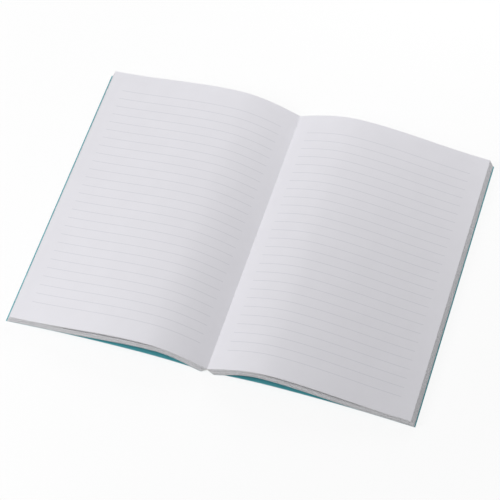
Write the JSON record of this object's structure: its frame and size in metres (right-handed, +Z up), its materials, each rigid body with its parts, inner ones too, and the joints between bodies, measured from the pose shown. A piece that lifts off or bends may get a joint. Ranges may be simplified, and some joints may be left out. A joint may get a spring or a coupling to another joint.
{
  "type": "softcover notebook",
  "caption": "Perfect-bound ruled notebook lying open at its middle, pages arched up from the gutter over a thin card cover that swings at its score lines",
  "frame": {"origin": "under the gutter, halfway along it, on the surface the open notebook lies on", "axes": "+X from the left page to the right page, +Y from the bottom edge of the pages to their top edge, +Z up out of the pages"},
  "size_m": [0.2806, 0.216, 0.0177],
  "materials": {
    "pages": "uncoated white writing paper with faint grey ruling",
    "cover_card": "smooth matte card in teal on both faces"
  },
  "bodies": {
    "sheets_and_spine": {"page_block": "pages", "cover_spine": "cover_card"},
    "front": {"front_cover": "cover_card"},
    "back": {"back_cover": "cover_card"}
  },
  "joints": [
    {"name": "front_cover_hinge", "type": "hinge", "parent": "sheets_and_spine", "child": "front", "pos_m": [-0.01181, 0, 0.003], "axis": [0, -1, 0], "range_deg": [0, 90]},
    {"name": "back_cover_hinge", "type": "hinge", "parent": "sheets_and_spine", "child": "back", "pos_m": [0.01181, 0, 0.003], "axis": [0, 1, 0], "range_deg": [0, 90]}
  ]
}
